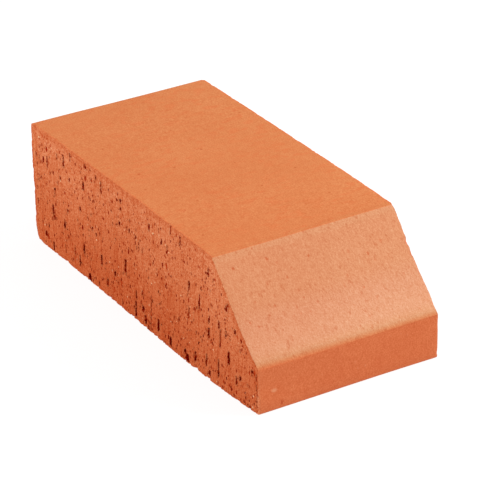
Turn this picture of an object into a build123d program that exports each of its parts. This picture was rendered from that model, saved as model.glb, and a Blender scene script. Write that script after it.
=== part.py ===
from build123d import *

import math
import os

# Plinth header: a solid fired clay brick with one short end canted back from an upright foot to the top bed.
# Sizes are in millimetres. +X points to the canted end, +Z is up, and the origin is at the middle of the bottom bed.

# Overall size of the brick
length = 215.0
width = 102.5
height = 65.0

# Canted end
upstand = 23.0  # height of the upright face below the cant
cant_angle = 45.0  # slope of the cant above the level, in degrees

# Arrises that the die leaves, running across the width
nose_radius = 1.5  # where the cant meets the upstand
cant_top_radius = 1.2  # where the cant meets the top bed
bed_radius = 1.2  # where the beds meet the tail and the upstand

# Arrises that the cutting wire leaves, round the two long sides
cut_radius = 0.5
cut_radius_share = 0.75  # the most that it may be of the tightest die arris, which it runs round

# Places worked out from the sizes
tail_x = -length / 2
front_x = length / 2
cant_run = (height - upstand) / math.tan(math.radians(cant_angle))
cant_top_x = front_x - cant_run

# Each corner of the section: its place along the brick and above the bottom bed, and the radius of its arris
tail_bottom = ((tail_x, 0), bed_radius)
front_bottom = ((front_x, 0), bed_radius)
nose = ((front_x, upstand), nose_radius)
cant_top = ((cant_top_x, height), cant_top_radius)
tail_top = ((tail_x, height), bed_radius)
corners = [tail_bottom, front_bottom, nose, cant_top, tail_top]


def make_die():
    """The opening of the die: the brick seen from its long side, with softened corners."""
    with BuildSketch() as die:
        with BuildLine():
            Polyline([place for place, _ in corners], close=True)
        make_face()
        for place, radius in corners:
            corner = die.vertices().sort_by_distance(place)[0]
            fillet(corner, radius)
    return die.sketch


def make_brick():
    """The clay pushed through the die, cut off by wire at both long sides."""
    cut_limit = cut_radius_share * min(radius for _, radius in corners)
    far_side = Plane.XZ.offset(-width / 2)
    with BuildPart() as brick:
        extrude(far_side * make_die(), amount=width)
        cut_sides = brick.faces().filter_by(Axis.Y)
        fillet(cut_sides.edges(), min(cut_radius, cut_limit))
    return brick.part


plinth_brick = make_brick()
plinth_brick.label = "plinth_brick"

os.makedirs("parts", exist_ok=True)
export_step(plinth_brick, "parts/plinth_brick.step")

print("cant run", round(cant_run, 2), "mm, volume", round(plinth_brick.volume), "mm3")
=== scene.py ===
"""Looks of a plinth header: a solid fired clay brick with one canted end and two long sides cut by wire."""

import logging
import math
from dataclasses import dataclass, field
from enum import Enum
from typing import Any

import bpy
import numpy as np
from mathutils import Matrix, Vector


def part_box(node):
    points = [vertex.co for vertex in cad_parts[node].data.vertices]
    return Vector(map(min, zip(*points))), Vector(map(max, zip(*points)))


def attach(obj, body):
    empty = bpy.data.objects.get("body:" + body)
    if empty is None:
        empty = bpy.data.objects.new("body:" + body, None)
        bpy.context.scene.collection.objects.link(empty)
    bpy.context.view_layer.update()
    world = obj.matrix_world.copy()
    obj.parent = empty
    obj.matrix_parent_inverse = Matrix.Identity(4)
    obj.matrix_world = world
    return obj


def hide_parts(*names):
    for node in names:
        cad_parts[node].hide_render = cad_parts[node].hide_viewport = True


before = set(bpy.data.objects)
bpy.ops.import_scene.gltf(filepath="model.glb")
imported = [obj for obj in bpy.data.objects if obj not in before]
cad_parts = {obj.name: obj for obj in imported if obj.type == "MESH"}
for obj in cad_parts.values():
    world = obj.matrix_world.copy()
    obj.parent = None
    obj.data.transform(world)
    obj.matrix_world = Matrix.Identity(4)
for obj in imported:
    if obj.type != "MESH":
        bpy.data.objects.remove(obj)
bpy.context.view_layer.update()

MM = 0.001
BRICK_NODE = "plinth_brick"
BRICK_BODY = "root"

Pair = tuple[float, float]
Triple = tuple[float, float, float]
Mesh = bpy.types.Mesh
Material = bpy.types.Material
Tree = bpy.types.NodeTree
log = logging.getLogger("plinth_header")


class Mark(Enum):
    """Names of the measures that the brick's mesh carries for its finishes and its node trees."""

    CUT_SIDE = "cut_side"
    CUT_FACE = "cut_face"
    ARRIS = "arris"
    FACING_UP = "facing_up"
    CHIPPED = "chipped"
    TEAR = "tear"
    TEAR_SHADE = "tear_shade"
    TEAR_LENGTH = "tear_length"
    TEAR_HALF_WIDTH = "tear_half_width"
    TEAR_DEPTH = "tear_depth"
    TEAR_FOOT = "tear_foot"


@dataclass(frozen=True)
class Ease:
    """A soft change from start to end while its input goes from low to high. Outside them it holds still."""

    low: Any
    high: Any
    start: Any = 0.0
    end: Any = 1.0


class Signal:
    """A value that flows through a node tree. Its arithmetic and its methods add the nodes that change it."""

    def __init__(self, sheet: "Sheet", node: bpy.types.Node, out: Any) -> None:
        """Keep the sheet, the node, and the name or the place of the node's output."""
        self.sheet, self.node, self.out = sheet, node, out

    def __getitem__(self, out: Any) -> "Signal":
        """Another output of the same node."""
        return Signal(self.sheet, self.node, out)

    def math(self, operation: str, other: Any = 0.0, clamp: bool = False) -> "Signal":
        """Put this value and another through a Math node."""
        return self.sheet.node("ShaderNodeMath", {0: self, 1: other}, operation=operation, use_clamp=clamp)

    def __add__(self, other: Any) -> "Signal":
        """Add another value."""
        return self.math("ADD", other)

    def __sub__(self, other: Any) -> "Signal":
        """Take another value away."""
        return self.math("SUBTRACT", other)

    def __mul__(self, other: Any) -> "Signal":
        """Multiply by another value."""
        return self.math("MULTIPLY", other)

    def __truediv__(self, other: Any) -> "Signal":
        """Divide by another value."""
        return self.math("DIVIDE", other)

    def ease(self, change: Ease) -> "Signal":
        """Drive a soft change with this value."""
        feeds = {0: self, 1: change.low, 2: change.high, 3: change.start, 4: change.end}
        return self.sheet.node("ShaderNodeMapRange", feeds, interpolation_type="SMOOTHSTEP")

    def share(self, start: Any, end: Any) -> "Signal":
        """Go softly from start to end while this mask goes from 0 to 1."""
        return self.ease(Ease(0.0, 1.0, start, end))

    def darken(self, mask: "Signal", amount: float) -> "Signal":
        """Lower this tone where a mask shows, by a share of it where the mask is full."""
        return self * (mask * -amount + 1.0)

    def mix(self, first: Any, second: Any, way: str = "MIX") -> "Signal":
        """Lay a second colour over a first one where this mask shows."""
        feeds = {0: self, 6: first, 7: second}
        return self.sheet.node("ShaderNodeMix", feeds, 2, data_type="RGBA", blend_type=way)

    def vector(self, operation: str, other: Any) -> "Signal":
        """Put these coordinates and others, or a number for SCALE, through a Vector Math node."""
        place = "Scale" if operation == "SCALE" else 1
        return self.sheet.node("ShaderNodeVectorMath", {0: self, place: other}, operation=operation)

    def split(self) -> "Signal":
        """These coordinates as X, Y and Z."""
        return self.sheet.node("ShaderNodeSeparateXYZ", {0: self})

    def noise(self, scale: float, detail: float = 2.0) -> "Signal":
        """A noise pattern over these coordinates, by its features in a metre and its finer octaves."""
        feeds = {"Vector": self, "Scale": scale, "Detail": detail}
        return self.sheet.node("ShaderNodeTexNoise", feeds, "Fac")

    def swing(self, scale: float, detail: float = 2.0) -> "Signal":
        """A noise pattern that swings about zero, by up to a half."""
        return self.noise(scale, detail) - 0.5

    def effect(self, group: Tree, **feeds: Any) -> "Signal":
        """Put these coordinates through a shader node group that takes a Place."""
        return self.sheet.node("ShaderNodeGroup", {"Place": self, **feeds}, node_tree=group)


class Sheet:
    """A node tree that is written from left to right, one node at a time."""

    def __init__(self, tree: Tree) -> None:
        """Keep the tree that the nodes go into."""
        self.tree = tree

    @classmethod
    def group(cls, name: str, kind: str, inputs: dict[str, str], outputs: dict[str, str]) -> Signal:
        """Start a node group.

        Args:
            name: the group's name.
            kind: the type of its tree.
            inputs: its inputs and the type of each.
            outputs: its outputs and the type of each.

        Returns:
            Its inputs.
        """
        tree = bpy.data.node_groups.new(name, kind)
        for way, sockets in (("INPUT", inputs), ("OUTPUT", outputs)):
            for socket, holds in sockets.items():
                tree.interface.new_socket(name=socket, in_out=way, socket_type=f"NodeSocket{holds}")
        return cls(tree).node("NodeGroupInput")

    def end(self, *values: Signal) -> Tree:
        """Put out a group's values, and return its tree."""
        self.node("NodeGroupOutput", dict(enumerate(values)))
        return self.tree

    def node(self, kind: str, feeds: dict[Any, Any] | None = None, out: Any = 0, **settings: Any) -> Signal:
        """Add one node.

        Args:
            kind: the node's type.
            feeds: what goes into its inputs, by name or place.
            out: the name or the place of the output that is wanted.
            settings: the node's own options.

        Returns:
            The output.
        """
        made = self.tree.nodes.new(kind)
        for name, value in settings.items():
            setattr(made, name, value)
        for key, value in (feeds or {}).items():
            self.feed(made.inputs[key], value)
        return Signal(self, made, out)

    def feed(self, socket: bpy.types.NodeSocket, value: Any) -> None:
        """Fill an input.

        Args:
            socket: the input.
            value: a signal, a list of signals, a colour without its alpha, or another plain value.
        """
        if isinstance(value, Signal):
            self.tree.links.new(value.node.outputs[value.out], socket)
        elif isinstance(value, list):
            for signal in value:
                self.feed(socket, signal)
        elif isinstance(value, tuple) and socket.type == "RGBA":
            socket.default_value = (*value, 1.0)
        else:
            socket.default_value = value

    def read(self, mark: Mark) -> Signal:
        """Read one of the mesh's measures."""
        if self.tree.bl_idname == "ShaderNodeTree":
            return self.node("ShaderNodeAttribute", out="Fac", attribute_name=mark.value)
        kind = "BOOLEAN" if mark is Mark.CUT_FACE else "FLOAT"
        return self.node("GeometryNodeInputNamedAttribute", {"Name": mark.value}, data_type=kind)


@dataclass(frozen=True)
class Chip:
    """A piece knocked off an arris or a corner, scooped out by a ball."""

    at: Triple
    outward: Triple
    depth: float
    radius: float

    def inside(self, points: np.ndarray) -> np.ndarray:
        """How far points lie inside the ball, whose middle is outside the brick."""
        middle = Vector(self.at) + Vector(self.outward).normalized() * (self.radius - self.depth)
        return self.radius - np.linalg.norm(points - np.array(middle), axis=1)


@dataclass(frozen=True)
class Tear:
    """A mark that the wire tore, in millimetres: its foot from the tail and from the top, and its size."""

    along: float
    down: float
    length: float
    width: float


# The large tears of the near side
MARKED_TEARS = tuple(Tear(*row) for row in (
    (32.9, 11.0, 5.5, 1.7), (15.8, 18.6, 6.0, 1.3), (26.5, 9.6, 2.6, 1.0), (69.8, 10.5, 5.8, 1.5),
    (52.2, 15.0, 2.4, 2.1), (39.5, 3.2, 0.8, 1.8), (54.5, 3.2, 1.0, 2.0), (64.8, 4.8, 0.8, 1.6),
    (5.0, 15.8, 0.6, 1.5), (29.0, 19.6, 1.0, 1.5), (38.0, 17.0, 0.8, 1.6), (9.0, 27.0, 0.6, 1.5),
    (23.0, 28.4, 0.8, 1.7), (48.8, 28.6, 1.0, 1.9), (35.5, 35.0, 0.8, 1.5), (60.8, 34.6, 1.0, 1.6),
    (64.8, 35.8, 0.8, 1.6), (19.7, 42.0, 3.6, 2.0), (31.6, 45.3, 3.6, 1.8), (51.5, 51.2, 3.8, 1.6),
    (69.7, 49.7, 4.8, 1.8), (41.8, 56.4, 3.8, 1.2), (46.9, 59.6, 4.4, 1.6), (57.1, 63.7, 2.0, 3.6),
    (11.4, 58.0, 1.0, 2.8), (19.0, 63.4, 3.8, 1.7), (88.7, 7.4, 0.8, 1.8), (88.8, 11.8, 0.8, 1.6),
    (87.6, 20.0, 1.0, 1.8), (97.2, 19.6, 0.8, 1.6), (103.5, 20.4, 0.6, 1.7), (83.0, 49.4, 1.2, 1.8),
    (93.4, 43.4, 6.0, 2.2), (104.4, 52.5, 3.2, 1.5), (104.2, 62.4, 7.4, 2.0), (111.4, 56.0, 1.2, 2.8),
    (114.0, 61.4, 2.8, 2.3), (119.3, 63.4, 18.5, 0.9), (126.4, 59.6, 4.6, 2.3), (75.6, 58.7, 3.0, 2.2),
    (138.3, 62.5, 3.4, 2.4), (116.2, 10.8, 2.6, 1.5), (135.9, 4.3, 3.6, 1.0), (133.2, 15.6, 3.6, 1.0),
    (145.0, 6.4, 4.0, 1.2), (170.4, 10.6, 3.0, 1.3), (153.8, 26.2, 4.4, 1.8), (163.3, 31.6, 7.2, 1.3),
    (187.0, 21.6, 1.4, 2.2), (195.0, 29.8, 0.8, 1.8), (172.6, 34.7, 3.4, 1.4), (181.2, 33.4, 2.8, 1.5),
    (182.7, 42.8, 8.4, 1.2), (187.3, 35.2, 2.4, 1.4), (154.5, 39.7, 4.4, 1.2), (172.6, 42.6, 4.2, 1.8),
    (190.3, 48.4, 5.6, 1.8), (181.9, 58.8, 8.0, 1.6), (171.3, 57.4, 4.6, 1.8), (161.3, 60.4, 4.2, 2.0),
    (152.0, 60.4, 1.4, 2.2), (154.3, 62.5, 1.0, 4.0), (174.5, 61.2, 0.8, 2.8), (196.9, 56.3, 3.6, 1.3),
    (200.0, 52.4, 0.8, 1.9), (210.0, 44.6, 0.8, 1.8), (213.4, 47.4, 2.6, 0.9), (213.4, 53.0, 3.4, 0.5),
    (213.2, 61.4, 4.6, 0.6),
))


@dataclass
class BrickForm:
    """The brick's sizes, in metres, and its softened solid as a distance field."""

    low: Vector
    high: Vector
    upstand: float = 23.0 * MM
    cant_angle: float = math.radians(45.0)
    nose_radius: float = 1.5 * MM
    cant_top_radius: float = 1.2 * MM
    bed_radius: float = 1.2 * MM
    cut_radius: float = 0.5 * MM
    chip_edge: float = 0.3 * MM
    chips: list[Chip] = field(default_factory=list)

    @property
    def cant_top(self) -> float:
        """Where the cant meets the top bed, along X."""
        return self.high.x - (self.high.z - self.upstand) / math.tan(self.cant_angle)

    def corners(self) -> list[Triple]:
        """The X, the Z and the arris radius of each corner, in order round the section."""
        return [
            (self.low.x, 0.0, self.bed_radius),
            (self.high.x, 0.0, self.bed_radius),
            (self.high.x, self.upstand, self.nose_radius),
            (self.cant_top, self.high.z, self.cant_top_radius),
            (self.low.x, self.high.z, self.bed_radius),
        ]

    def roof(self, along: np.ndarray) -> np.ndarray:
        """The height of the top bed or the cant at places along X."""
        return np.minimum(self.high.z, self.upstand + (self.high.x - along) * math.tan(self.cant_angle))

    def section_distance(self, x: np.ndarray, z: np.ndarray) -> np.ndarray:
        """How far points lie outside the rounded section, negative inside it.

        Args:
            x: their places along the brick.
            z: their heights.

        Returns:
            The distance of each point.
        """
        places = self.corners()
        faces = []
        for (x0, z0, _), (x1, z1, _) in zip(places, places[1:] + places[:1]):
            out = np.array((z1 - z0, x0 - x1)) / math.hypot(x1 - x0, z1 - z0)
            faces.append((out, out @ np.array((x0, z0))))
        distance = np.max([out[0] * x + out[1] * z - reach for out, reach in faces], axis=0)
        for index, (_, _, radius) in enumerate(places):
            (out_a, reach_a), (out_b, reach_b) = faces[index - 1], faces[index]
            middle = np.linalg.solve(np.array((out_a, out_b)), np.array((reach_a, reach_b)) - radius)
            dx, dz = x - middle[0], z - middle[1]
            turn = out_a[0] * out_b[1] - out_a[1] * out_b[0]
            past_a = (dx * out_b[1] - dz * out_b[0]) / turn
            past_b = (out_a[0] * dz - out_a[1] * dx) / turn
            distance = np.where((past_a > 0) & (past_b > 0), np.hypot(dx, dz) - radius, distance)
        return distance

    def facing_up(self, x: np.ndarray, z: np.ndarray, step: float = 0.02 * MM) -> np.ndarray:
        """How far up the section faces: 1 on the top bed, 0 on an upright face, -1 on the bottom bed."""
        return (self.section_distance(x, z + step) - self.section_distance(x, z - step)) / (2 * step)

    def distance(self, points: np.ndarray) -> np.ndarray:
        """How far points lie outside the softened and chipped brick, negative inside it.

        Args:
            points: one row of X, Y and Z for each point.

        Returns:
            The distance of each point.
        """
        x, y, z = points.T
        section = self.section_distance(x, z) + self.cut_radius
        side = np.abs(y) - (self.high.y - self.cut_radius)
        outside = np.hypot(np.maximum(section, 0.0), np.maximum(side, 0.0))
        distance = outside + np.minimum(np.maximum(section, side), 0.0) - self.cut_radius
        return np.max([distance, *(chip.inside(points) for chip in self.chips)], axis=0)

    def chipped(self, points: np.ndarray) -> np.ndarray:
        """How surely points lie in a chip: 1 inside it, falling to 0 past its edge."""
        inside = np.max([chip.inside(points) for chip in self.chips], axis=0)
        return np.clip(1.0 + inside / self.chip_edge, 0.0, 1.0)

    def soften(self, points: np.ndarray, rounds: int = 5, step: float = 0.01 * MM) -> np.ndarray:
        """Move points of a sharp brick onto the softened one.

        Args:
            points: one row of X, Y and Z for each point.
            rounds: how often they are moved.
            step: how far apart the field is read for its slope.

        Returns:
            The moved points.
        """
        moved = points.copy()
        for _ in range(rounds):
            shifts = np.eye(3) * step
            rises = [self.distance(moved + shift) - self.distance(moved - shift) for shift in shifts]
            moved -= self.distance(moved)[:, None] * np.stack(rises, axis=1) / (2 * step)
        return moved


@dataclass
class Lattice:
    """The net of faces that covers the brick, fine on the wire-cut sides and along the arrises."""

    form: BrickForm
    columns: int = 430
    rows: int = 86
    stations: int = 18
    row_grading: float = 0.3
    station_grading: float = 3.2
    side_depth: float = 0.1 * MM
    chart_gap: float = 2.0 * MM
    chart_span: float = 346.0 * MM

    def side_grid(self) -> np.ndarray:
        """The places of one long side's net before it is softened.

        Returns:
            X and Z for each column and row.
        """
        along = np.linspace(self.form.low.x, self.form.high.x, self.columns + 1)
        along[np.abs(along - self.form.cant_top).argmin()] = self.form.cant_top
        even = np.linspace(0.0, 1.0, self.rows + 1)
        share = even - self.row_grading * np.sin(2 * math.pi * even) / (2 * math.pi)
        height = self.form.roof(along)[:, None] * share[None, :]
        return np.stack(np.broadcast_arrays(along[:, None], height), axis=-1)

    def rim(self) -> list[tuple[int, int]]:
        """The columns and rows round a side's edge: along the bed, the front, the roof and the tail.

        Returns:
            A column and a row for each place.
        """
        bed = [(i, 0) for i in range(self.columns)]
        front = [(self.columns, j) for j in range(self.rows)]
        roof = [(i, self.rows) for i in range(self.columns, 0, -1)]
        return bed + front + roof + [(0, j) for j in range(self.rows, 0, -1)]

    def build(self, name: str) -> Mesh:
        """Make the softened net as one closed mesh, with its measures and its map for textures.

        Args:
            name: the mesh's name.

        Returns:
            The mesh.
        """
        rim = self.rim()
        even = np.linspace(-1.0, 1.0, self.stations + 1)
        across = self.form.high.y * np.tanh(self.station_grading * even) / math.tanh(self.station_grading)
        flat = self.side_grid().reshape(-1, 2)
        rim_flat = np.array([i * (self.rows + 1) + j for i, j in rim])
        layers = [np.insert(flat, 1, across[0], axis=1), np.insert(flat, 1, across[-1], axis=1)]
        layers += [np.insert(flat[rim_flat], 1, y, axis=1) for y in across[1:-1]]
        points = np.concatenate(layers)
        count, turn = len(flat), len(rim)
        rings = [2 * count + k * turn + np.arange(turn) for k in range(self.stations - 1)]
        rings = [rim_flat, *rings, count + rim_flat]

        index = np.arange(count).reshape(self.columns + 1, self.rows + 1)
        near = np.stack([index[:-1, :-1], index[1:, :-1], index[1:, 1:], index[:-1, 1:]], -1).reshape(-1, 4)
        skins = [np.stack([a, b, np.roll(b, -1), np.roll(a, -1)], -1) for a, b in zip(rings, rings[1:])]
        faces = np.concatenate([near, near[:, ::-1] + count, *skins])

        mesh = bpy.data.meshes.new(name)
        softened = self.form.soften(points)
        mesh.from_pydata(softened.tolist(), [], faces.tolist())
        self.measure(mesh, points, softened, len(near))
        self.chart(mesh, points[faces], len(near), turn)
        return mesh

    def measure(self, mesh: Mesh, points: np.ndarray, softened: np.ndarray, side_faces: int) -> None:
        """Write the measures that the finishes and the node trees read.

        Args:
            mesh: the net.
            points: its places before it was softened.
            softened: its places since.
            side_faces: how many faces one long side has.
        """
        x, y, z = points.T
        depth = self.form.high.y - np.abs(y)
        values = {
            Mark.ARRIS: np.maximum(-self.form.section_distance(x, z), depth),
            Mark.CUT_SIDE: np.where(depth < self.side_depth, np.sign(y), 0.0),
            Mark.FACING_UP: self.form.facing_up(softened[:, 0], softened[:, 2]),
            Mark.CHIPPED: self.form.chipped(softened),
        }
        for mark, value in values.items():
            layer = mesh.attributes.new(mark.value, "FLOAT", "POINT")
            layer.data.foreach_set("value", value.astype(np.float32))
        layer = mesh.attributes.new(Mark.CUT_FACE.value, "BOOLEAN", "FACE")
        layer.data.foreach_set("value", np.arange(len(mesh.polygons)) < 2 * side_faces)

    def chart(self, mesh: Mesh, corner: np.ndarray, side_faces: int, turn: int) -> None:
        """Lay the faces out flat for textures, each side of the brick in a place of its own.

        Args:
            mesh: the net.
            corner: the places of each face's four corners before the net was softened.
            side_faces: how many faces one long side has.
            turn: how many faces go once round the section.
        """
        form, gap = self.form, self.chart_gap
        length, width = form.high.x - form.low.x, form.high.y - form.low.y
        x, across, z = corner[:, :, 0], corner[:, :, 1] - form.low.y, corner[:, :, 2]
        place = np.stack([x - form.low.x + gap, z], axis=-1)
        place[:side_faces, :, 1] += 2 * width + 3 * gap
        place[side_faces : 2 * side_faces, :, 1] += 2 * width + form.high.z + 4 * gap
        skin = np.arange(len(corner)) - 2 * side_faces
        step = np.where(skin >= 0, skin % turn, -1)
        front_starts, roof_starts = self.columns, self.columns + self.rows
        tail_starts = roof_starts + self.columns
        bed = (step >= 0) & (step < front_starts)
        front = (step >= front_starts) & (step < roof_starts)
        roof = (step >= roof_starts) & (step < tail_starts)
        tail = step >= tail_starts
        slope = math.cos(form.cant_angle)
        run = x - form.cant_top
        unrolled = np.where(run > 0, run / slope, run)
        cant_start = form.cant_top - form.low.x + gap
        cant = (form.high.x - form.cant_top) / slope
        place[bed, :, 1] = across[bed] + gap
        place[tail] = np.stack([z[tail] + length + 2 * gap, across[tail] + gap], axis=-1)
        place[roof, :, 0] = unrolled[roof] + cant_start
        place[front, :, 0] = cant_start + cant + form.upstand - z[front]
        place[roof | front, :, 1] = across[roof | front] + width + 2 * gap
        layer = mesh.uv_layers.new(name="OFBake")
        layer.data.foreach_set("uv", (place / self.chart_span).astype(np.float32).ravel())


@dataclass
class WireTears:
    """The tears and pits that the wire drags in both long sides, carved by Geometry Nodes."""

    form: BrickForm
    marked: tuple[Tear, ...] = MARKED_TEARS
    marked_spread: float = 0.9
    marked_depth: float = 0.9
    seed: int = 11
    density: float = 12000.0
    crowd_foot: float = 1.5
    crowd_top: float = 0.6
    clear_of_arris: Ease = Ease(1.5 * MM, 3.0 * MM)
    foot_rows: Ease = Ease(6.0 * MM, 12.0 * MM, 1.0, 0.0)
    rarity: float = 3.5
    near_share: float = 0.3
    far_share: float = 0.75
    girth_from_length: float = 0.6
    girth_from_chance: float = 0.4
    length: Pair = (0.2 * MM, 7.0 * MM)
    half_width: Pair = (0.42 * MM, 0.95 * MM)
    depth: Pair = (0.5 * MM, 1.5 * MM)
    top_taper: float = 0.75
    hollow: Ease = Ease(0.4, 1.0, 1.0, 0.0)
    far_off: float = 3.0
    wander: float = 0.45 * MM
    wander_scale: float = 520.0
    swell: float = 0.35 * MM
    swell_scale: float = 40.0
    swell_inland: Ease = Ease(0.0, 6.0 * MM)
    fray: float = 1.5 * MM
    fray_reach: float = 2.5 * MM
    fray_scale: float = 230.0
    fray_by_height: Ease = Ease(2.0 * MM, 6.0 * MM, 1.0, 0.35)
    fray_at_front: float = 0.25
    bites: Ease = Ease(0.48, 0.78)
    crumbs: Ease = Ease(0.5, 0.68, 0.0, 0.5)
    crumb_scale: float = 506.0

    def sizes(self) -> dict[str, float]:
        """The sizes that the node tree takes as named inputs."""
        sizes = {"Density": self.density, "Height": self.form.high.z}
        sizes |= {"Near Share": self.near_share, "Far Share": self.far_share}
        for name, pair in (("Length", self.length), ("Half Width", self.half_width), ("Depth", self.depth)):
            sizes |= {f"{name} Least": pair[0], f"{name} Most": pair[1]}
        return sizes

    def marked_points(self) -> bpy.types.Object:
        """The tears that are placed one by one, as loose points that carry their sizes.

        Returns:
            An object that is only read by the node tree.
        """
        places, sizes = [], []
        for tear in self.marked:
            foot = self.form.high.z - tear.down * MM
            places.append((self.form.low.x + tear.along * MM, self.form.low.y, foot))
            depth = min(self.depth[1], self.marked_depth * tear.width * MM)
            sizes.append((tear.length * MM, self.marked_spread * tear.width * MM / 2, depth))
        mesh = bpy.data.meshes.new("marked_tears")
        mesh.from_pydata(places, [], [])
        marks = (Mark.TEAR_LENGTH, Mark.TEAR_HALF_WIDTH, Mark.TEAR_DEPTH)
        for mark, values in zip(marks, np.array(sizes, np.float32).T):
            layer = mesh.attributes.new(mark.value, "FLOAT", "POINT")
            layer.data.foreach_set("value", np.ascontiguousarray(values))
        made = bpy.data.objects.new("marked_tears", mesh)
        bpy.context.scene.collection.objects.link(made)
        return made

    def tree(self) -> Tree:
        """Write the node tree that scatters the tears and sinks them into the mesh.

        Returns:
            The tree, with its sizes as named inputs.
        """
        kinds = {"Brick": "Geometry", "Marked": "Object", "Seed": "Int"}
        kinds |= {"Die Skin": "Material", "Wire Cut": "Material"} | dict.fromkeys(self.sizes(), "Float")
        given = Sheet.group("wire_tears", "GeometryNodeTree", kinds, {"Brick": "Geometry"})
        sheet = given.sheet
        carved = self.sink(given, self.drag_lines(given, self.feet(given)))
        whole = sheet.node("GeometryNodeRealizeInstances", {0: carved})
        skin = sheet.node("GeometryNodeSetMaterial", {0: whole, "Material": given["Die Skin"]})
        feeds = {0: skin, "Selection": sheet.read(Mark.CUT_FACE), "Material": given["Wire Cut"]}
        return sheet.end(sheet.node("GeometryNodeSetMaterial", feeds))

    @staticmethod
    def keep(shape: Signal, values: dict[Mark, Signal]) -> Signal:
        """Write measures onto the points of a shape.

        Args:
            shape: what carries the points.
            values: each measure's value.

        Returns:
            The shape with the measures on it.
        """
        kept = {"data_type": "FLOAT", "domain": "POINT"}
        for mark, value in values.items():
            feeds = {0: shape, "Name": mark.value, "Value": value}
            shape = shape.sheet.node("GeometryNodeStoreNamedAttribute", feeds, **kept)
        return shape

    def feet(self, given: Signal) -> Signal:
        """Scatter the feet of the small tears over both long sides, with a size for each tear.

        Args:
            given: the tree's inputs.

        Returns:
            The feet as points.
        """
        sheet = given.sheet
        height = sheet.node("GeometryNodeInputPosition").split()["Z"]
        crowd = height.ease(Ease(0.0, given["Height"], self.crowd_foot, self.crowd_top))
        inland = sheet.read(Mark.ARRIS).ease(self.clear_of_arris)
        clear = inland.math("MAXIMUM", height.ease(self.foot_rows))
        feeds = {"Mesh": given["Brick"], "Selection": sheet.read(Mark.CUT_FACE), "Seed": given["Seed"]}
        feeds["Density"] = given["Density"] * crowd * clear
        feet = sheet.node("GeometryNodeDistributePointsOnFaces", feeds, "Points")
        first, second = (
            sheet.node("FunctionNodeRandomValue", {2: 0.0, 3: 1.0, "Seed": seed}, 1)
            for seed in (given["Seed"], given["Seed"] + 1.0)
        )
        by_side = Ease(-1.0, 1.0, given["Near Share"], given["Far Share"])
        size = first.math("POWER", self.rarity) * sheet.read(Mark.CUT_SIDE).ease(by_side)
        girth = size * self.girth_from_length + second * second * self.girth_from_chance
        sizes = {
            Mark.TEAR_LENGTH: size.share(given["Length Least"], given["Length Most"]),
            Mark.TEAR_HALF_WIDTH: girth.share(given["Half Width Least"], given["Half Width Most"]),
            Mark.TEAR_DEPTH: girth.share(given["Depth Least"], given["Depth Most"]),
        }
        return self.keep(feet, sizes)

    def drag_lines(self, given: Signal, feet: Signal) -> Signal:
        """Draw each tear as an upright line, the marked ones with the small ones.

        Args:
            given: the tree's inputs.
            feet: the feet of the small tears.

        Returns:
            The lines, with the size of each tear on them.
        """
        sheet = given.sheet
        marked = sheet.node("GeometryNodeObjectInfo", {"Object": given["Marked"]}, "Geometry")
        both = sheet.node("GeometryNodeJoinGeometry", {0: [feet, marked]})
        footed = self.keep(both, {Mark.TEAR_FOOT: sheet.node("GeometryNodeInputPosition").split()["Z"]})
        line = sheet.node("GeometryNodeMeshLine", {"Count": 2, "Offset": (0.0, 0.0, 1.0)})
        tall = sheet.node("ShaderNodeCombineXYZ", {0: 1.0, 1: 1.0, 2: sheet.read(Mark.TEAR_LENGTH)})
        feeds = {"Points": footed, "Instance": line, "Scale": tall}
        copies = sheet.node("GeometryNodeInstanceOnPoints", feeds)
        return sheet.node("GeometryNodeRealizeInstances", {0: copies})

    def sink(self, given: Signal, lines: Signal) -> Signal:
        """Sink the mesh along the lines and keep how deep in a tear each point lies.

        Args:
            given: the tree's inputs.
            lines: the tears' lines.

        Returns:
            The carved mesh.
        """
        sheet = given.sheet
        place = sheet.node("GeometryNodeInputPosition")
        swirl = place.noise(self.wander_scale, 1.0)["Color"].vector("SUBTRACT", (0.5, 0.5, 0.5))
        astray = place.vector("ADD", swirl.vector("SCALE", 2 * self.wander))
        feeds = {"Geometry": lines, "Sample Position": astray}
        nearest = sheet.node("GeometryNodeSampleNearest", feeds, domain="EDGE")
        away = sheet.node("GeometryNodeProximity", feeds, "Distance", target_element="EDGES")
        found = {}
        for mark in (Mark.TEAR_LENGTH, Mark.TEAR_HALF_WIDTH, Mark.TEAR_DEPTH, Mark.TEAR_FOOT):
            feeds = {0: lines, 1: sheet.read(mark), "Index": nearest}
            found[mark] = sheet.node("GeometryNodeSampleIndex", feeds, data_type="FLOAT", domain="EDGE")
        risen = place.split()["Z"] - found[Mark.TEAR_FOOT]
        share = risen.math("DIVIDE", found[Mark.TEAR_LENGTH], clamp=True)
        reach = away / (found[Mark.TEAR_HALF_WIDTH] * share.share(1.0, self.top_taper))
        sunk = reach.ease(self.hollow) * found[Mark.TEAR_DEPTH]
        inland = sheet.read(Mark.ARRIS).ease(self.swell_inland)
        swell = place.swing(self.swell_scale, 1.0) * (2 * self.swell) * inland
        push = (swell - sunk) * sheet.read(Mark.CUT_SIDE) - self.frayed(place)
        shade = found[Mark.TEAR_DEPTH].math("DIVIDE", given["Depth Most"], clamp=True)
        marks = {Mark.TEAR: reach.math("MINIMUM", self.far_off), Mark.TEAR_SHADE: shade}
        offset = sheet.node("ShaderNodeCombineXYZ", {"Y": push})
        return sheet.node("GeometryNodeSetPosition", {0: self.keep(given["Brick"], marks), "Offset": offset})

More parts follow.
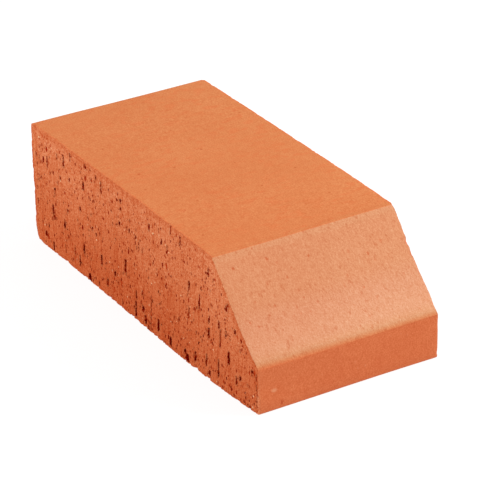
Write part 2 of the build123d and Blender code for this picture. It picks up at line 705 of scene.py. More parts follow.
    def frayed(self, place: Signal) -> Signal:
        """How far the arrises of the cut sides are worn in, most at the foot.

        Args:
            place: the mesh's places.

        Returns:
            The wear along Y, signed by the side.
        """
        parts = place.split()
        near_arris = place.sheet.read(Mark.ARRIS) / -self.fray_reach
        front = self.form.high.x
        by_front = Ease(front - 2 * self.fray_reach, front, 1.0, self.fray_at_front)
        bitten = place.noise(self.fray_scale, 3.0).ease(self.bites)
        crumbs = place.noise(self.crumb_scale).ease(self.crumbs)
        amount = parts["Z"].ease(self.fray_by_height) * self.fray * parts["X"].ease(by_front)
        worn = (bitten + crumbs) * near_arris.math("ADD", 1.0, clamp=True) * amount
        return worn * parts["Y"].math("SIGN")

    def carve(self, mesh: Mesh, die_skin: Material, wire_cut: Material) -> Mesh:
        """Run the tree on the brick's net.

        Args:
            mesh: the net.
            die_skin: the finish of the faces that the die made.
            wire_cut: the finish of the faces that the wire made.

        Returns:
            The carved net as a plain mesh.
        """
        raw = bpy.data.objects.new("raw_brick", mesh)
        bpy.context.scene.collection.objects.link(raw)
        marked = self.marked_points()
        values = {"Marked": marked, "Seed": self.seed, "Die Skin": die_skin, "Wire Cut": wire_cut}
        values |= self.sizes()
        modifier = raw.modifiers.new("tears", "NODES")
        modifier.node_group = self.tree()
        for item in modifier.node_group.interface.items_tree:
            if item.in_out == "INPUT" and item.name in values:
                modifier[item.identifier] = values[item.name]
        graph = bpy.context.evaluated_depsgraph_get()
        carved = bpy.data.meshes.new_from_object(raw.evaluated_get(graph), depsgraph=graph)
        raw.modifiers.remove(modifier)
        for spent in (raw, marked):
            bpy.data.objects.remove(spent)
        return carved


@dataclass(frozen=True)
class ClayEffects:
    """The effects that both surfaces of the brick share, each as a shader node group."""

    tone: Tree
    grain: Tree
    grit: Tree
    arris: Tree

    @classmethod
    def make(cls) -> "ClayEffects":
        """Write the groups once."""
        return cls(cls.write_tone(), cls.write_grain(), cls.write_grit(), cls.write_arris())

    @staticmethod
    def start(name: str, inputs: tuple[str, ...], *outputs: str) -> Signal:
        """Start a group that takes a Place and numbers and puts out numbers, and return its inputs."""
        kinds = {"Place": "Vector"} | dict.fromkeys(inputs, "Float")
        return Sheet.group(name, "ShaderNodeTree", kinds, dict.fromkeys(outputs, "Float"))

    @staticmethod
    def write_tone() -> Tree:
        """Clay made lighter or darker: it reddens as it darkens, since green and blue fall faster than red.

        Returns:
            A group that puts out a colour.
        """
        darkest, green_power, blue_power = 0.16, 2.7, 3.9
        kinds = {"Colour": "Color", "Tone": "Float"}
        given = Sheet.group("clay_tone", "ShaderNodeTree", kinds, {"Colour": "Color"})
        red = given["Tone"].math("MAXIMUM", darkest)
        feeds = {0: red, 1: red.math("POWER", green_power), 2: red.math("POWER", blue_power)}
        feeds = {0: 1.0, 6: given["Colour"], 7: given.sheet.node("ShaderNodeCombineColor", feeds)}
        tinted = given.sheet.node("ShaderNodeMix", feeds, 2, data_type="RGBA", blend_type="MULTIPLY")
        return given.sheet.end(tinted)

    @classmethod
    def write_grain(cls) -> Tree:
        """Uneven firing: broad clouds, blotches and a fine grain about a tone of one, and the grain's height.

        Returns:
            A group that puts out a tone and a height.
        """
        layers = {"Clouds": (22.0, 3.0), "Blotches": (260.0, 3.0), "Grain": (1350.0, 2.0)}
        coarse_scale, coarse_share, fine_scale, fine_share = 650.0, 0.6, 1700.0, 0.4
        given = cls.start("uneven_firing", tuple(layers), "Tone", "Height")
        place = given["Place"]
        clouds, blotches, grain = (place.swing(*pattern) * given[name] for name, pattern in layers.items())
        height = place.noise(coarse_scale) * coarse_share + place.noise(fine_scale) * fine_share
        return given.sheet.end(clouds + 1.0 + blotches + grain, height)

    @classmethod
    def write_grit(cls) -> Tree:
        """Grit in the clay: pale grains and dark pinholes with uneven outlines.

        Returns:
            A group that puts out two masks.
        """
        least_size, unevenness, edge, least_strength = 0.45, 1.4, Ease(0.3, 1.0, 1.0, 0.0), 0.3
        given = cls.start("clay_grit", ("Pale", "Dark"), "Pale", "Dark")
        masks = []
        for name, scale, reach in (("Pale", 330.0, 0.24), ("Dark", 420.0, 0.44)):
            cells = given.sheet.node("ShaderNodeTexVoronoi", {"Vector": given["Place"], "Scale": scale})
            drawn = given.sheet.node("ShaderNodeSeparateColor", {0: cells["Color"]})
            bent = given["Place"].swing(3.0 * scale, 1.0) * unevenness
            outward = cells["Distance"] / drawn[1].share(least_size * reach, reach) + bent
            strength = (drawn[2] * drawn[2]).share(least_strength, 1.0)
            masks.append(outward.ease(edge) * drawn[0].math("LESS_THAN", given[name]) * strength)
        return given.sheet.end(*masks)

    @classmethod
    def write_arris(cls) -> Tree:
        """Clay smeared along an arris, in a band with an uneven edge.

        Returns:
            A group that puts out a mask.
        """
        edge_scale, full_share = 240.0, 0.5
        given = cls.start("arris_smear", ("Arris", "Reach"), "Mask")
        uneven = given["Place"].swing(edge_scale) * given["Reach"]
        band = Ease(given["Reach"] * full_share, given["Reach"], 1.0, 0.0)
        return given.sheet.end((given["Arris"] + uneven).ease(band))


@dataclass(frozen=True)
class ClayFinish:
    """What the brick's two finishes have in common: their clay, and how much each effect shows."""

    name: str
    clay: Triple
    fleck: Triple
    clouds: float
    blotches: float
    grain: float
    roughness: float
    sheen: float
    bump: float

    def start(self) -> tuple[Material, Signal]:
        """Start the material, and return it with the coordinates on the brick."""
        made = bpy.data.materials.new(self.name)
        made.use_nodes = True
        return made, Sheet(made.node_tree).node("ShaderNodeTexCoord", out="Object")

    def finish(self, colour: Signal, roughness: Any, height: Signal) -> None:
        """Feed the material's shader.

        Args:
            colour: its colour.
            roughness: its roughness.
            height: the height of its fine relief.
        """
        sheet = colour.sheet
        shader = sheet.tree.nodes["Principled BSDF"]
        sheet.feed(shader.inputs["Base Color"], colour)
        sheet.feed(shader.inputs["Roughness"], roughness)
        shader.inputs["Specular IOR Level"].default_value = self.sheen
        feeds = {"Strength": 1.0, "Distance": self.bump, "Height": height}
        sheet.feed(shader.inputs["Normal"], sheet.node("ShaderNodeBump", feeds))

    @staticmethod
    def toned(effects: ClayEffects, colour: Any, tone: Signal) -> Signal:
        """Make a colour lighter or darker by a tone."""
        return tone.sheet.node("ShaderNodeGroup", {"Colour": colour, "Tone": tone}, node_tree=effects.tone)


@dataclass(frozen=True)
class Scuffs:
    """Small scuffs in loose clusters: their stretch, how many fit in a metre, and how rare they are."""

    stretch: Triple
    scale: float
    bar: float
    edge: float = 0.14
    cluster_scale: float = 0.1
    clusters: Ease = Ease(0.38, 0.62, 0.45, 1.0)

    def mask(self, place: Signal) -> Signal:
        """Where the scuffs are, by the coordinates on the brick."""
        drawn = place.vector("MULTIPLY", self.stretch).noise(self.scale)
        crowd = place.noise(self.cluster_scale * self.scale).ease(self.clusters)
        return drawn.ease(Ease(self.bar, self.bar + self.edge)) * crowd


@dataclass(frozen=True)
class DieSkin(ClayFinish):
    """The smooth face that the die leaves: fine grain, small dents, pale bloom from firing with a painted
    sheen in it, and painted light and shade over its faces, arrises and chips.
    """

    name: str = "die_skin"
    # The clay colour takes in part of a painted sheen, in its green and blue.
    clay: Triple = (0.614, 0.1427, 0.0462)
    fleck: Triple = (0.74, 0.36, 0.19)
    clouds: float = 0.10
    blotches: float = 0.10
    grain: float = 0.38
    roughness: float = 0.62
    sheen: float = 0.12
    bump: float = 0.09 * MM
    half_width: float = 51.0 * MM
    arris_reach: float = 1.3 * MM

    # Which face a point lies on, by how far up it faces
    bed_to_front: Ease = Ease(-0.6, -0.2)
    front_to_cant: Pair = (0.2, 0.6)
    cant_facing: Ease = Ease(0.2, 0.5)
    cant_to_top: Pair = (0.75, 0.95)
    below_top: Ease = Ease(0.76, 0.9, 1.0, 0.0)
    top_facing: Ease = Ease(0.78, 0.92)
    cant_grain: float = 0.28
    front_grain: float = 0.42

    # Scuffs, dents and grit, with pairs for off the cant and on it
    cant_scuffs: Scuffs = Scuffs((0.9, 1.0, 0.6), 400.0, 0.58)
    top_mottle: Scuffs = Scuffs((1.0, 0.35, 1.0), 420.0, 0.50)
    dent_stretch: Triple = (0.9, 1.0, 0.6)
    dent_scale: float = 520.0
    pale_grit: float = 0.05
    dark_grit: Pair = (0.03, 0.13)

    # Bloom of the top bed and the cant, with a painted sheen in it that grows towards the far side and low on
    # the cant, with heights above the nose
    top_bloom_and_sheen: Triple = (0.400, 0.212, 0.074)
    top_share: float = 0.36
    top_smeared: float = 0.144
    top_mottled: float = 0.25
    cant_bloom_and_sheen: Triple = (0.417, 0.469, 0.269)
    low_bloom_and_sheen: Triple = (0.436, 0.486, 0.317)
    nose_bloom_and_sheen: Triple = (0.417, 0.469, 0.189)
    cant_share: float = 0.26
    cloudy: Ease = Ease(0.25, 0.75, 0.98, 1.02)
    cloud_scale: float = 60.0
    far_more: Pair = (0.94, 1.08)
    low_more: Ease = Ease(0.0, 25.0 * MM, 1.13, 0.89)
    under_arris: Ease = Ease(38.4 * MM, 40.8 * MM, 0.0, 0.16)
    off_nose: Ease = Ease(-0.1 * MM, 3.3 * MM)
    low_from: Ease = Ease(2.0 * MM, 6.5 * MM)
    low_to: Ease = Ease(14.0 * MM, 25.0 * MM, 1.0, 0.0)
    by_nose: Ease = Ease(0.8 * MM, 3.2 * MM, 1.0, 0.0)
    bloom_and_sheen_scuffed: float = 0.05
    bloom_and_sheen_chipped: float = 0.45
    bloom_and_sheen_pocked: float = 0.5

    # Tone, which reddens the clay as it darkens it, with painted shade in the pinholes and dents and painted
    # light and shade on the fine relief
    painted_pinhole_shade: Pair = (0.34, 0.15)
    scuff_fall: float = 0.11
    mottle_fall: float = 0.022
    painted_dent_shade: Pair = (0.05, 0.09)
    lit_from: Triple = (0.0, 0.3 * MM, 0.15 * MM)
    lit_share: float = 0.35

    # Painted light and shade, which leave the hue alone
    across_shade: Pair = (0.985, 0.998)
    top_shade: Pair = (0.99, 1.018)
    cant_shade: Ease = Ease(2.0 * MM, 24.0 * MM, 0.062, -0.028)
    under_arris_shade: float = 0.12
    above_nose_shade: Ease = Ease(3.0 * MM, 9.0 * MM, -0.022, 0.0)
    nose_from: Ease = Ease(-0.3 * MM, 1.3 * MM)
    nose_to: Ease = Ease(1.5 * MM, 4.0 * MM, 1.0, 0.0)
    nose_along: Ease = Ease(0.0, 65.5 * MM)
    painted_nose_shade: float = 0.13
    painted_chip_shade: float = 0.27
    over_arris: Ease = Ease(62.5 * MM, 64.7 * MM)
    painted_over_arris_shade: float = 0.035
    foot_shade: Ease = Ease(0.0, 7.0 * MM, 0.965, 1.0)
    painted_edge_band: Ease = Ease(0.1 * MM, 0.8 * MM, 1.0, 0.0)
    painted_edge_shading: Ease = Ease(-25.5 * MM, 25.5 * MM, 0.16, -0.17)

    # Pale flecks, one pale spot low on the front, and a painted highlight on the lip of the upright arrises
    grit_fleck: float = 0.3
    spot: Triple = (107.5 * MM, -43.0 * MM, 10.9 * MM)
    spot_stretch: Triple = (1.0, 0.75, 1.2)
    spot_fade: Ease = Ease(0.51 * MM, 1.7 * MM, 0.45, 0.0)
    painted_lip_share: float = 0.06

    # Relief
    wave_scale: float = 190.0
    wave_height: float = 1.6
    pinhole_depth: float = 0.5
    scuff_depth: float = 0.25
    dent_depth: Pair = (0.3, 0.7)
    mean_height: float = 1.3
    patch_scale: float = 38.0
    patches: Ease = Ease(0.38, 0.62, 0.35, 1.0)

    def material(self, effects: ClayEffects, upstand: float) -> Material:
        """Write the material.

        Args:
            effects: the groups that the surfaces share.
            upstand: the height of the nose, where the cant begins.

        Returns:
            The material.
        """
        made, place = self.start()
        at = SkinPoint(place, self, effects, upstand)
        toned = self.toned(effects, self.with_bloom_and_sheen(at), self.tone(at, effects))
        self.finish(self.flecked(at, toned.vector("SCALE", self.shade(at))), self.roughness, self.relief(at))
        return made

    def with_bloom_and_sheen(self, at: "SkinPoint") -> Signal:
        """The clay with the bloom of the top bed and the cant on it, which also holds a painted sheen.

        Args:
            at: the point.

        Returns:
            Its colour.
        """
        above = at.above_nose
        # The share of bloom and painted sheen grows towards the far side, low on the cant and just under its
        # top arris.
        uneven = at.place.noise(self.cloud_scale, 4.0).ease(self.cloudy) * at.far_more
        uneven = uneven * above.ease(self.low_more) + at.under_arris
        cant_share = at.on_cant * self.cant_share * uneven * above.ease(self.off_nose)
        cant_share = cant_share.darken(at.scuffs, self.bloom_and_sheen_scuffed)
        cant_share = cant_share.darken(at.chipped, self.bloom_and_sheen_chipped)
        cant_share = cant_share.darken(at.grit["Dark"], self.bloom_and_sheen_pocked)
        top_share = at.on_top * at.smear.share(self.top_share, self.top_smeared) * at.far_more
        topped = top_share.darken(at.mottle, self.top_mottled).mix(self.clay, self.top_bloom_and_sheen)
        low = above.ease(self.low_from) * above.ease(self.low_to)
        bloom_and_sheen = above.ease(self.by_nose).mix(low.mix(self.cant_bloom_and_sheen, self.low_bloom_and_sheen), self.nose_bloom_and_sheen)
        return cant_share.mix(topped, bloom_and_sheen)

    def tone(self, at: "SkinPoint", effects: ClayEffects) -> Signal:
        """How light the clay is: its grain and scuffs, painted shade in its specks and dents, and painted
        light and shade on its fine relief.

        Args:
            at: the point.
            effects: the groups that the surfaces share.

        Returns:
            The tone, about one.
        """
        # Painted shade in the cant's dark pinholes.
        tone = at.fired["Tone"].darken(at.grit["Dark"] * at.on_cant.share(*self.painted_pinhole_shade), 1.0)
        tone = tone.darken(at.scuffs * at.on_cant, self.scuff_fall)
        tone = tone.darken(at.mottle * at.on_top, self.mottle_fall)
        # Painted light and shade of the fine relief: its height against its height a little way off, as if
        # lit from one side.
        behind = at.place.vector("ADD", self.lit_from).effect(effects.grain)["Height"]
        lit = (at.fired["Height"] - behind) * self.lit_share * at.on_cant
        # Painted shade in the dents, darker and redder in the low ones.
        return tone + at.dents * at.on_cant.share(*self.painted_dent_shade) + lit

    def shade(self, at: "SkinPoint") -> Signal:
        """How far painted light and shade make the faces, the arrises and the chips lighter or darker.

        Args:
            at: the point.

        Returns:
            The shade, about one.
        """
        above = at.above_nose
        # Painted light: brighter towards the far side and on the top bed, brighter low on the cant and under
        # its top arris, dimmer just above the nose.
        shade = at.over_width(*self.across_shade) * at.on_top.share(*self.top_shade)
        shade = shade + at.on_cant * (above.ease(self.cant_shade) + above.ease(self.above_nose_shade))
        shade = shade + at.under_arris * self.under_arris_shade
        # Painted shade at the nose, on the chips and on the top bed beside the cant's arris.
        nose = above.ease(self.nose_from) * above.ease(self.nose_to) * at.parts["X"].ease(self.nose_along)
        shade = shade.darken(nose, self.painted_nose_shade).darken(at.chipped, self.painted_chip_shade)
        shade = shade.darken(at.parts["X"].ease(self.over_arris) * at.on_top, self.painted_over_arris_shade)
        # Painted light on the near arrises, painted shade on the far ones, and painted shade at the foot.
        edge = at.arris.ease(self.painted_edge_band) * at.below_top
        return shade * at.parts["Z"].ease(self.foot_shade) + edge * at.parts["Y"].ease(self.painted_edge_shading)

    def flecked(self, at: "SkinPoint", colour: Signal) -> Signal:
        """Lay pale grit, the pale spot and a painted highlight on the lip of the upright arrises over a
        colour.

        Args:
            at: the point.
            colour: the colour so far.

        Returns:
            The colour with them.
        """
        apart = at.place.vector("SUBTRACT", self.spot).vector("MULTIPLY", self.spot_stretch)
        reach = at.place.sheet.node("ShaderNodeVectorMath", {0: apart}, "Value", operation="LENGTH")
        pale = (at.grit["Pale"] * self.grit_fleck).math("MAXIMUM", reach.ease(self.spot_fade))
        # A painted highlight on the lip of the upright arrises.
        return (at.smear * at.upright * self.painted_lip_share).mix(pale.mix(colour, self.fleck), self.fleck)

    def relief(self, at: "SkinPoint") -> Signal:
        """The height of the skin's fine relief, stronger in patches.

        Args:
            at: the point.

        Returns:
            The height.
        """
        height = at.fired["Height"] - at.grit["Dark"] * self.pinhole_depth - at.scuffs * self.scuff_depth
        height = height + at.dents * at.on_cant.share(*self.dent_depth)
        height = height + at.place.noise(self.wave_scale) * self.wave_height - self.mean_height
        return height * at.place.noise(self.patch_scale).ease(self.patches)


class SkinPoint:
    """What the die skin's nodes know of a point: where it lies, on which face, and which marks it has."""

    def __init__(self, place: Signal, skin: DieSkin, effects: ClayEffects, upstand: float) -> None:
        """Read the point.

        Args:
            place: the coordinates on the brick.
            skin: the finish.
            effects: the groups that the surfaces share.
            upstand: the height of the nose.
        """
        self.place = place
        self.half_width = skin.half_width
        self.parts = place.split()
        self.above_nose = self.parts["Z"] - upstand
        facing = place.sheet.read(Mark.FACING_UP)
        self.on_top = facing.ease(skin.top_facing)
        self.below_top = facing.ease(skin.below_top)
        self.on_cant = facing.ease(skin.cant_facing) * self.below_top
        self.upright = facing.ease(skin.bed_to_front) * facing.ease(Ease(*skin.front_to_cant, 1.0, 0.0))
        self.arris = place.sheet.read(Mark.ARRIS)
        self.chipped = place.sheet.read(Mark.CHIPPED)
        self.smear = place.effect(effects.arris, Arris=self.arris, Reach=skin.arris_reach)
        grain = facing.ease(Ease(*skin.cant_to_top, skin.cant_grain, skin.grain))
        grain = facing.ease(Ease(*skin.front_to_cant, skin.front_grain, grain))
        self.fired = place.effect(effects.grain, Clouds=skin.clouds, Blotches=skin.blotches, Grain=grain)
        dented = place.vector("MULTIPLY", skin.dent_stretch)
        self.dents = dented.swing(skin.dent_scale)
        self.grit = dented.effect(effects.grit, Pale=skin.pale_grit, Dark=self.on_cant.share(*skin.dark_grit))
        self.scuffs = skin.cant_scuffs.mask(place)
        self.mottle = skin.top_mottle.mask(place)
        self.far_more = self.over_width(*skin.far_more)
        self.under_arris = self.above_nose.ease(skin.under_arris)

    def over_width(self, near: float, far: float) -> Signal:
        """Go softly from one value at the near side to another at the far side."""
        return self.parts["Y"].ease(Ease(-self.half_width, self.half_width, near, far))


@dataclass(frozen=True)
class Pits:
    """Small pits with uneven outlines: how many could lie along a metre, how many do, and their reach."""

    scale: float
    share: float
    reach: float
    cluster_scale: float = 0.13
    clusters: Ease = Ease(0.35, 0.65, 0.4, 1.6)
    least_reach: float = 0.35
    unevenness: float = 1.2
    edge: Ease = Ease(0.78, 1.02, 1.0, 0.0)
    shallowest: float = 0.25

    def mask(self, flat: Signal) -> Signal:
        """Where the pits are, strewn in loose clusters.

        Args:
            flat: coordinates on the side, in metres.

        Returns:
            A mask of them, fainter for the shallow ones.
        """
        feeds = {"Vector": flat, "Scale": self.scale}
        cells = flat.sheet.node("ShaderNodeTexVoronoi", feeds, voronoi_dimensions="2D")
        drawn = flat.sheet.node("ShaderNodeSeparateColor", {0: cells["Color"]})
        crowd = flat.noise(self.cluster_scale * self.scale).ease(self.clusters) * self.share
        size = (drawn[1] * drawn[1]).share(self.least_reach * self.reach, self.reach)
        outward = cells["Distance"] / size + flat.swing(3.0 * self.scale, 1.0) * self.unevenness
        shown = outward.ease(self.edge) * drawn[0].math("LESS_THAN", crowd)
        return shown * drawn[2].share(self.shallowest, 1.0)


@dataclass(frozen=True)
class WireCut(ClayFinish):
    """The face that the wire leaves: dull, dragged, torn and pitted, with painted shade in the tears and pits
    and towards the foot.
    """

    name: str = "wire_cut"
    clay: Triple = (0.692, 0.196, 0.0800)
    fleck: Triple = (0.93, 0.56, 0.32)
    clouds: float = 0.15
    blotches: float = 0.17
    grain: float = 0.86
    roughness: float = 0.85
    sheen: float = 0.0
    bump: float = 0.35 * MM
    pale_grit: float = 0.26

    # Smear along the arrises, which the pits keep off
    smear_reach: float = 3.0 * MM
    smear_from: Ease = Ease(6.5 * MM, 16.25 * MM)
    smear_fall: float = 0.065

    # Pits, on coordinates that make them tall and keep the two sides apart
    coarse_pits: Pits = Pits(280.0, 0.15, 0.26)
    fine_pits: Pits = Pits(760.0, 0.35, 0.38)
    pit_squash: float = 0.5
    # Pits, on coordinates that make them tall and keep the two sides apart, darkened by painted shade
    side_apart: float = 5.0
    painted_pit_shade: float = 0.72
    pit_depth: float = 1.5

    # Tears, with ragged edges and a raised lip: painted shade inside them, tinted red like deep hollows, and
    # a painted highlight on the lip
    ragged: float = 1.1
    ragged_scale: float = 900.0
    tear_edge: Ease = Ease(0.85, 1.15, 1.0, 0.0)
    broken: Ease = Ease(0.35, 0.55, 0.6, 1.0)
    broken_scale: float = 700.0
    lip_from: Ease = Ease(0.95, 1.25)
    lip_to: Ease = Ease(1.25, 1.8, 1.0, 0.0)
    painted_lip_light: float = 0.08
    lip_height: float = 0.8
    painted_tear_shade: float = 0.82
    painted_hollow_tint: Triple = (1.1, 0.50, 0.20)

    # Streaks that the wire drags upwards
    streak_bar: Ease = Ease(0.5, 0.75)
    broad_stretch: Triple = (1.0, 1.0, 0.09)
    broad_scale: float = 520.0
    broad_fall: float = 0.12
    fine_stretch: Triple = (1.0, 1.0, 0.07)
    fine_scale: float = 1300.0
    fine_fall: float = 0.10

    # Painted light and shade along the side: shade towards the foot, light by the tail and the front, and a
    # highlight on the front arris's lip
    painted_foot_shade: float = 0.19
    painted_tail_light: Ease = Ease(-107.0 * MM, -20.0 * MM, 0.06, 0.0)
    painted_tail_light_top: float = 0.2
    painted_front_light: Ease = Ease(30.0 * MM, 90.0 * MM, 0.0, 0.05)
    painted_front_lip_light: Ease = Ease(106.5 * MM, 107.3 * MM, 0.0, 0.18)
    along_shade: Ease = Ease(-107.0 * MM, 30.0 * MM, 0.972, 0.93)

    def material(self, effects: ClayEffects, height: float) -> Material:
        """Write the material.

        Args:
            effects: the groups that the surfaces share.
            height: the brick's height.

        Returns:
            The material.
        """
        made, place = self.start()
        parts = place.split()
        fired = place.effect(effects.grain, Clouds=self.clouds, Blotches=self.blotches, Grain=self.grain)
        grit = place.effect(effects.grit, Pale=self.pale_grit, Dark=0.0)
        smear = place.effect(effects.arris, Arris=place.sheet.read(Mark.ARRIS), Reach=self.smear_reach)
        smear = smear * parts["Z"].ease(self.smear_from)
        small = self.pitted(parts).darken(smear, 1.0)
        inside, lip = self.torn(place)
        hollow = inside.math("MAXIMUM", small)
        # Painted shade towards the foot, and painted light by the tail, the front and the front arris's lip.
        tone = self.dragged(place, self.over_side(parts, height, fired["Tone"]))
        # A painted highlight on the tears' lips, and painted shade in the pits and the tears, tinted red.
        tone = tone.darken(smear, self.smear_fall) + lip * self.painted_lip_light
        tone = tone.darken(small, self.painted_pit_shade).darken(inside, self.painted_tear_shade)
        toned = hollow.mix(self.toned(effects, self.clay, tone), self.painted_hollow_tint, "MULTIPLY")
        # Painted shade along the side, darker towards the front.
        toned = toned.vector("SCALE", parts["X"].ease(self.along_shade))
        pale = grit["Pale"] * inside.share(1.0, 0.0)
        relief = fired["Height"] - small * self.pit_depth + lip * self.lip_height
        self.finish(pale.mix(toned, self.fleck), hollow.share(self.roughness, 1.0), relief)
        return made

    def pitted(self, parts: Signal) -> Signal:
        """Where the coarse and the fine pits are.

        Args:
            parts: X, Y and Z on the brick.

        Returns:
            A mask of the pits.
        """
        tall = parts["Z"] * self.pit_squash + parts.sheet.read(Mark.CUT_SIDE) * self.side_apart
        flat = parts.sheet.node("ShaderNodeCombineXYZ", {"X": parts["X"], "Y": tall})
        return self.coarse_pits.mask(flat).math("MAXIMUM", self.fine_pits.mask(flat))

    def torn(self, place: Signal) -> tuple[Signal, Signal]:
        """Where the tears and their lips are.

        Args:
            place: the coordinates on the brick.

        Returns:
            A mask of the tears, fainter for the shallow ones, and a mask of their lips.
        """
        reach = place.sheet.read(Mark.TEAR) + place.swing(self.ragged_scale, 3.0) * self.ragged
        broken = place.noise(self.broken_scale).ease(self.broken)
        inside = reach.ease(self.tear_edge) * place.sheet.read(Mark.TEAR_SHADE) * broken
        return inside, reach.ease(self.lip_from) * reach.ease(self.lip_to)

    def over_side(self, parts: Signal, height: float, tone: Signal) -> Signal:
        """Paint shade on a tone at the foot of the side, and paint light on it by its tail, its front and the
        lip of its front arris.

        Args:
            parts: X, Y and Z on the brick.
            height: the brick's height.
            tone: the tone so far.

        Returns:
            The changed tone.
        """
        tone = tone.darken(parts["Z"].ease(Ease(0.0, height, 1.0, 0.0)), self.painted_foot_shade)
        low = parts["Z"].ease(Ease(0.0, height, 1.0, self.painted_tail_light_top))
        tone = tone + parts["X"].ease(self.painted_tail_light) * low
        return tone + parts["X"].ease(self.painted_front_light) + parts["X"].ease(self.painted_front_lip_light)

    def dragged(self, place: Signal, tone: Signal) -> Signal:
        """Draw the wire's upright streaks, broad and fine, over a tone.

        Args:
            place: the coordinates on the brick.
            tone: the tone so far.

        Returns:
            The streaked tone.
        """
        broad = place.vector("MULTIPLY", self.broad_stretch).noise(self.broad_scale)
        fine = place.vector("MULTIPLY", self.fine_stretch).noise(self.fine_scale, 1.0)
        tone = tone.darken(broad.ease(self.streak_bar), self.broad_fall)
        return tone.darken(fine.ease(self.streak_bar), self.fine_fall)


@dataclass
class PlinthBrick:
    """The one piece of the object: the fired brick, with its chips, its tears and its bowed sides."""

    form: BrickForm
    lean: float = 2.2 * MM
    lean_peak_power: float = 2.2
    crown: float = 0.85 * MM
    nose_lift: float = 0.9 * MM
    nose_lift_reach: float = 30.0 * MM
    settle_power: float = 3.0

    @classmethod
    def from_frame(cls) -> "PlinthBrick":
        """Take the brick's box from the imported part."""
        form = BrickForm(*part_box(BRICK_NODE))
        form.chips = cls.chips(form)
        return cls(form)

    @staticmethod
    def chips(form: BrickForm) -> list[Chip]:
        """The places where clay has been knocked off.

        Args:
            form: the brick's sizes.

        Returns:
            The chips.
        """
        tail, near, far, top = form.low.x, form.low.y, form.high.y, form.high.z
        return [
            Chip((tail, near, 0.0), (-0.8, -0.4, -0.9), 3.2 * MM, 10.0 * MM),
            Chip((tail, far, top), (-1.0, 1.0, 0.35), 1.6 * MM, 7.0 * MM),
            Chip((form.cant_top, far, top), (0.4, 0.9, 0.9), 0.8 * MM, 3.0 * MM),
            Chip((79.5 * MM, far, 51.0 * MM), (0.6, 0.9, 0.6), 0.95 * MM, 3.2 * MM),
            Chip((84.0 * MM, far, 46.5 * MM), (0.65, 0.7, 0.65), 0.7 * MM, 2.4 * MM),
        ]

    def build(self) -> bpy.types.Object:
        """Make the brick's mesh with its finishes on it.

        Returns:
            The brick.
        """
        effects = ClayEffects.make()
        die_skin = DieSkin().material(effects, self.form.upstand)
        wire_cut = WireCut().material(effects, self.form.high.z)
        net = Lattice(self.form).build("brick_net")
        carved = WireTears(self.form).carve(net, die_skin, wire_cut)
        carved.name = "fired_brick"
        self.bow(carved)
        carved.polygons.foreach_set("use_smooth", np.ones(len(carved.polygons), bool))
        brick = bpy.data.objects.new("fired_brick", carved)
        bpy.context.scene.collection.objects.link(brick)
        return brick

    def bow(self, mesh: Mesh) -> None:
        """Lean the cut sides, crown the top bed and lift the nose, as the drying clay has done.

        Args:
            mesh: the brick's mesh.
        """
        form = self.form
        points = np.empty(len(mesh.vertices) * 3, np.float32)
        mesh.vertices.foreach_get("co", points)
        points = points.reshape(-1, 3)
        share = (points[:, 0] - form.low.x) / (form.high.x - form.low.x)
        up = points[:, 2] / form.high.z
        out = np.sin(math.pi * np.clip(share, 0.0, 1.0) ** self.lean_peak_power)
        points[:, 1] -= self.lean * out * (1.0 - up)
        along = (points[:, 0] - form.low.x) / (form.cant_top - form.low.x)
        hump = np.clip(4.0 * along * (1.0 - along), 0.0, 1.0)
        points[:, 2] += self.crown * hump * np.clip(up, 0.0, 1.0) ** 2
        from_nose = np.hypot(points[:, 0] - form.high.x, points[:, 2] - form.upstand)
        points[:, 2] += self.nose_lift * np.clip(1.0 - from_nose / self.nose_lift_reach, 0.0, 1.0) ** 2
        points += self.settling(points)
        mesh.vertices.foreach_set("co", points.ravel())
        mesh.update()

    def settling(self, points: np.ndarray) -> np.ndarray:
        """How far the drying clay has moved, set at the corners in millimetres and eased between them.

        Args:
            points: one row of X, Y and Z for each point.

        Returns:
            The movement of each point, in metres.
        """
        form = self.form
        tail, front, near, far, top = form.low.x, form.high.x, form.low.y, form.high.y, form.high.z
        up_cant = form.upstand + 0.25 * (top - form.upstand)
        back_cant = front - 0.25 * (front - form.cant_top)
        corners = {
            (tail, near, 0.0): (0.9, 0.0, 0.0),
            (tail, far, 0.0): (0.3, 0.0, 0.0),
            (tail, near, top): (-0.7, -0.3, 0.0),
            (tail, far, top): (0.0, -0.2, 0.0),
            (form.cant_top, near, top): (0.3, -0.1, 0.0),
            (form.cant_top, far, top): (0.0, 0.9, 0.3),
            (front, near, form.upstand): (-0.3, -0.35, -0.4),
            (front, far, form.upstand): (0.0, -0.4, 0.3),
            (back_cant, far, up_cant): (0.0, 0.4, 0.0),
            (front, near, 0.0): (0.8, -0.5, 0.0),
            (front, far, 0.0): (0.0, -0.2, 0.0),
        }
        away = np.array([np.linalg.norm(points - np.array(corner), axis=1) for corner in corners])
        weights = 1.0 / (away + MM) ** self.settle_power
        shares = weights / np.sum(weights, axis=0)
        return (shares.T @ np.array(list(corners.values()))) * MM

    def place(self, brick: bpy.types.Object) -> None:
        """Let the brick stand for its solid and ride on its body.

        Args:
            brick: the brick.
        """
        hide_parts(BRICK_NODE)
        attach(brick, BRICK_BODY)


@dataclass(frozen=True)
class Softbox:
    """A square soft lamp that faces the brick: the way to it, how far off it is, its side and its watts."""

    name: str
    towards: Triple
    away: float
    side: float
    power: float

    def hang(self) -> None:
        """Hang the lamp."""
        lamp = bpy.data.lights.new(self.name, "AREA")
        lamp.shape = "SQUARE"
        lamp.size = self.side
        lamp.energy = self.power
        made = bpy.data.objects.new(self.name, lamp)
        towards = Vector(self.towards)
        made.location = towards.normalized() * self.away
        made.rotation_euler = towards.to_track_quat("Z", "Y").to_euler()
        made.visible_camera = False
        bpy.context.scene.collection.objects.link(made)


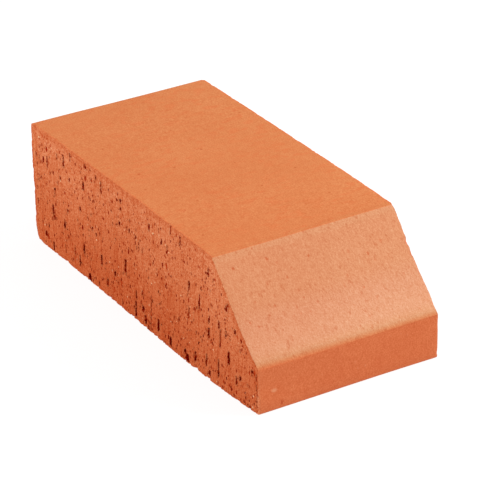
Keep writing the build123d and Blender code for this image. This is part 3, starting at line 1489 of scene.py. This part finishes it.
@dataclass(frozen=True)
class Studio:
    """A plain pale floor, soft light from above, and the camera."""

    softboxes: tuple[Softbox, ...] = (
        Softbox("key", (0.35, 0.80, 0.60), 1.4, 0.7, 21.5),
        Softbox("fill", (-0.10, -0.75, 0.85), 1.8, 1.0, 16.6),
    )
    sky_strength: float = 0.45
    floor_half: float = 4.0
    paper_tone: float = 0.20
    paper_glow: float = 0.84
    paper_roughness: float = 0.9
    paper_sheen: float = 0.1
    eye: Triple = (1247.4 * MM, -780.6 * MM, 792.0 * MM)
    azimuth: float = math.radians(57.62)
    elevation: float = math.radians(27.47)
    roll: float = math.radians(0.09)
    focal_pixels: float = 3342.3
    frame_pixels: float = 495.0
    sensor_mm: float = 36.0
    far_clip: float = 50.0

    def build(self) -> None:
        """Make the floor, the light and the camera."""
        self.lay_floor()
        self.light_sky()
        for softbox in self.softboxes:
            softbox.hang()
        self.set_camera()

    def lay_floor(self) -> None:
        """Lay the floor under the brick."""
        half = self.floor_half
        mesh = bpy.data.meshes.new("studio_floor")
        corners = [(-half, -half, 0), (half, -half, 0), (half, half, 0), (-half, half, 0)]
        mesh.from_pydata(corners, [], [(0, 1, 2, 3)])
        paper = bpy.data.materials.new("pale_paper")
        paper.use_nodes = True
        inputs = paper.node_tree.nodes["Principled BSDF"].inputs
        inputs["Base Color"].default_value = (self.paper_tone, self.paper_tone, self.paper_tone, 1.0)
        inputs["Roughness"].default_value = self.paper_roughness
        inputs["Specular IOR Level"].default_value = self.paper_sheen
        inputs["Emission Color"].default_value = (1.0, 1.0, 1.0, 1.0)
        inputs["Emission Strength"].default_value = self.paper_glow
        mesh.materials.append(paper)
        floor = bpy.data.objects.new("studio_floor", mesh)
        bpy.context.scene.collection.objects.link(floor)

    def light_sky(self) -> None:
        """Fill the room with even light."""
        world = bpy.data.worlds.new("studio")
        world.use_nodes = True
        background = world.node_tree.nodes["Background"]
        background.inputs["Color"].default_value = (1.0, 1.0, 1.0, 1.0)
        background.inputs["Strength"].default_value = self.sky_strength
        bpy.context.scene.world = world

    def set_camera(self) -> None:
        """Put the camera where the photograph was taken from."""
        data = bpy.data.cameras.new("camera")
        data.sensor_width = self.sensor_mm
        data.lens = self.sensor_mm * self.focal_pixels / self.frame_pixels
        data.clip_end = self.far_clip
        level = math.cos(self.elevation)
        back_x, back_y = math.sin(self.azimuth) * level, -math.cos(self.azimuth) * level
        back = Vector((back_x, back_y, math.sin(self.elevation)))
        camera = bpy.data.objects.new("camera", data)
        turn = back.to_track_quat("Z", "Y").to_matrix() @ Matrix.Rotation(self.roll, 3, "Z")
        camera.matrix_world = Matrix.Translation(self.eye) @ turn.to_4x4()
        bpy.context.scene.collection.objects.link(camera)
        bpy.context.scene.camera = camera
        bpy.context.scene.view_settings.view_transform = "Standard"


def main() -> None:
    """Build the brick and its studio."""
    logging.basicConfig(level=logging.INFO, format="%(name)s: %(message)s")
    header = PlinthBrick.from_frame()
    brick = header.build()
    header.place(brick)
    triangles = sum(len(face.vertices) - 2 for face in brick.data.polygons)
    log.info("%s: %d triangles, rides on %s", brick.name, triangles, BRICK_BODY)
    Studio().build()
    log.info("studio: floor, lamps and camera")


if __name__ == "__main__":
    main()
